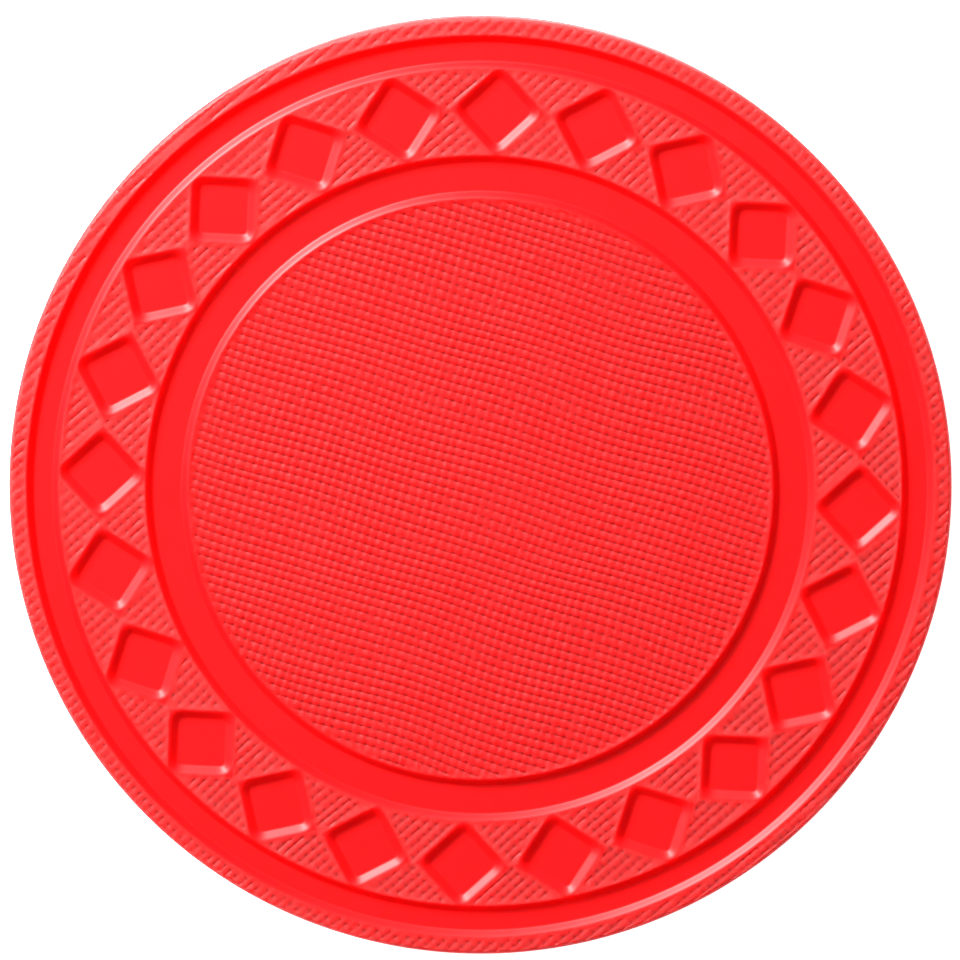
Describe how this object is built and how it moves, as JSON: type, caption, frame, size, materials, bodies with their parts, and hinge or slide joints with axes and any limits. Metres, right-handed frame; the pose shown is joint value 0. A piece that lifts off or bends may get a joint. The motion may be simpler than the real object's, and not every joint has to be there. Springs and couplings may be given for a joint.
{
  "type": "golf ball marker",
  "caption": "Weighted chip-style golf ball marker: a flat round disc with an embossed rim, a band of sunk diamonds and a raised centre on both faces.",
  "frame": {"origin": "middle of the underside, on the chip's axis", "axes": "+Z along the chip's axis, from the reverse face up to the obverse face; +X through one diamond of each ring"},
  "size_m": [0.039, 0.039, 0.0033],
  "materials": {
    "red_resin": "plain red moulded resin, satin, with a fine pressed linen texture on its raised faces",
    "slug_steel": "punched mild steel, as blanked"
  },
  "bodies": {
    "root": {"obverse_shell": "red_resin", "reverse_shell": "red_resin", "weight_slug": "slug_steel"}
  },
  "joints": []
}
